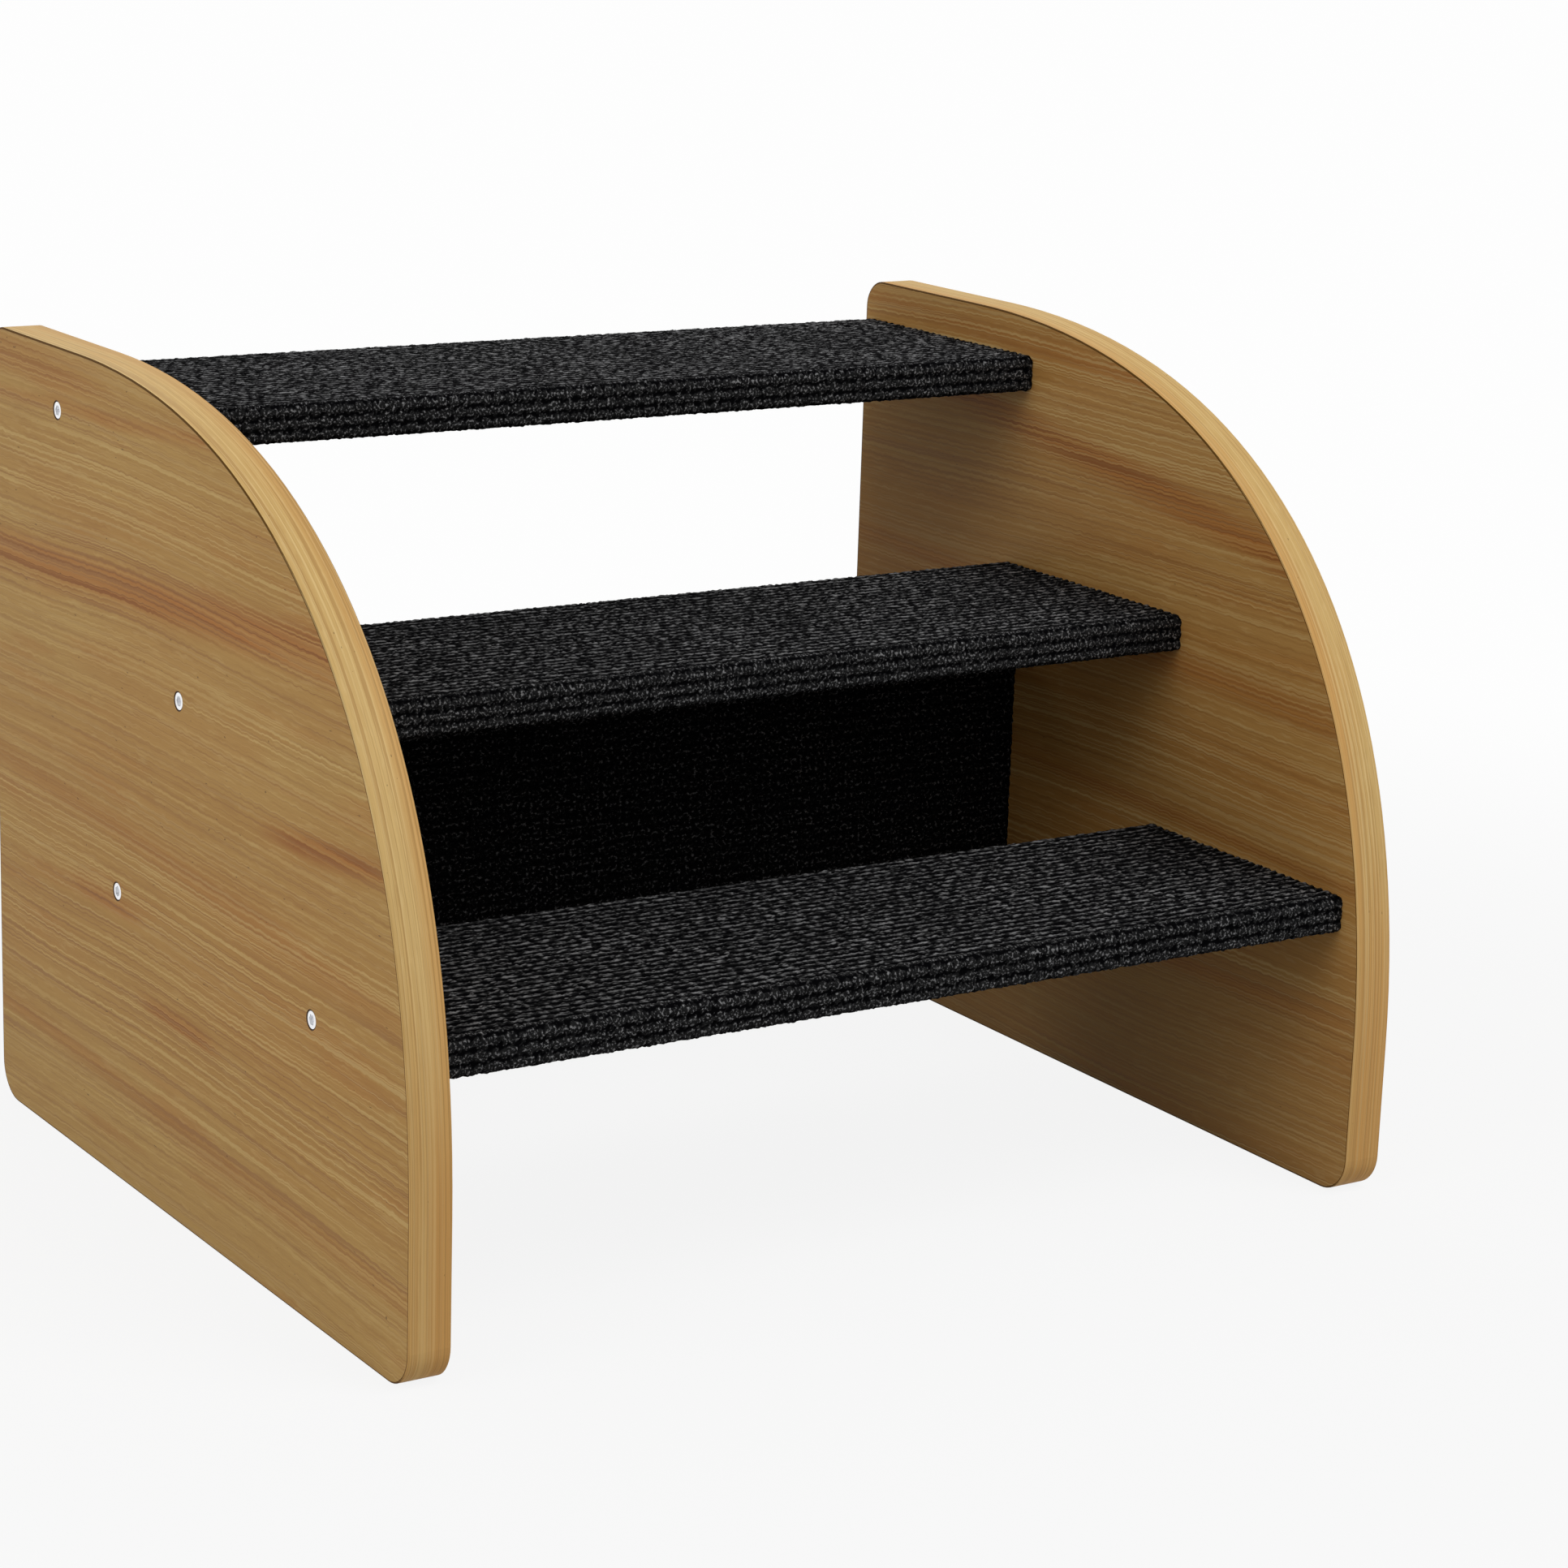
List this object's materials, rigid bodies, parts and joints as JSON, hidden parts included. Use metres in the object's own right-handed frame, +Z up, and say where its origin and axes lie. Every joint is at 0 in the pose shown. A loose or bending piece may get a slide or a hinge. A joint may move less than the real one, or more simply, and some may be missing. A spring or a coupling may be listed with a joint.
{
  "type": "pet stairs",
  "caption": "Pet stairs with curved wood-effect side panels, carpet-wrapped open treads and an upright carpeted brace under the middle step.",
  "frame": {"origin": "on the floor, under the middle of the stairs' box", "axes": "+X to the right as seen from the front, +Y from the front edge to the back edge, +Z up"},
  "size_m": [0.468, 0.39, 0.345],
  "materials": {
    "laminate": "satin oak-grain laminate on board",
    "edge_banding": "satin wood-grain edge band",
    "board_core": "raw fibreboard",
    "carpet": "charcoal ribbed loop pile",
    "screw_steel": "bright zinc plate",
    "dowel_wood": "raw beech"
  },
  "bodies": {
    "root": {"left_side_panel": "laminate", "right_side_panel": "laminate", "left_edge_band": "edge_banding", "right_edge_band": "edge_banding", "low_tread_board": "board_core", "middle_tread_board": "board_core", "top_tread_board": "board_core", "back_brace_board": "board_core", "low_tread_carpet": "carpet", "middle_tread_carpet": "carpet", "top_tread_carpet": "carpet", "back_brace_carpet": "carpet", "left_low_tread_screw": "screw_steel", "left_middle_tread_screw": "screw_steel", "left_top_tread_screw": "screw_steel", "left_back_brace_screw": "screw_steel", "right_low_tread_screw": "screw_steel", "right_middle_tread_screw": "screw_steel", "right_top_tread_screw": "screw_steel", "right_back_brace_screw": "screw_steel", "left_low_tread_dowels": "dowel_wood", "left_middle_tread_dowels": "dowel_wood", "left_top_tread_dowels": "dowel_wood", "left_back_brace_dowels": "dowel_wood", "right_low_tread_dowels": "dowel_wood", "right_middle_tread_dowels": "dowel_wood", "right_top_tread_dowels": "dowel_wood", "right_back_brace_dowels": "dowel_wood"}
  },
  "joints": []
}
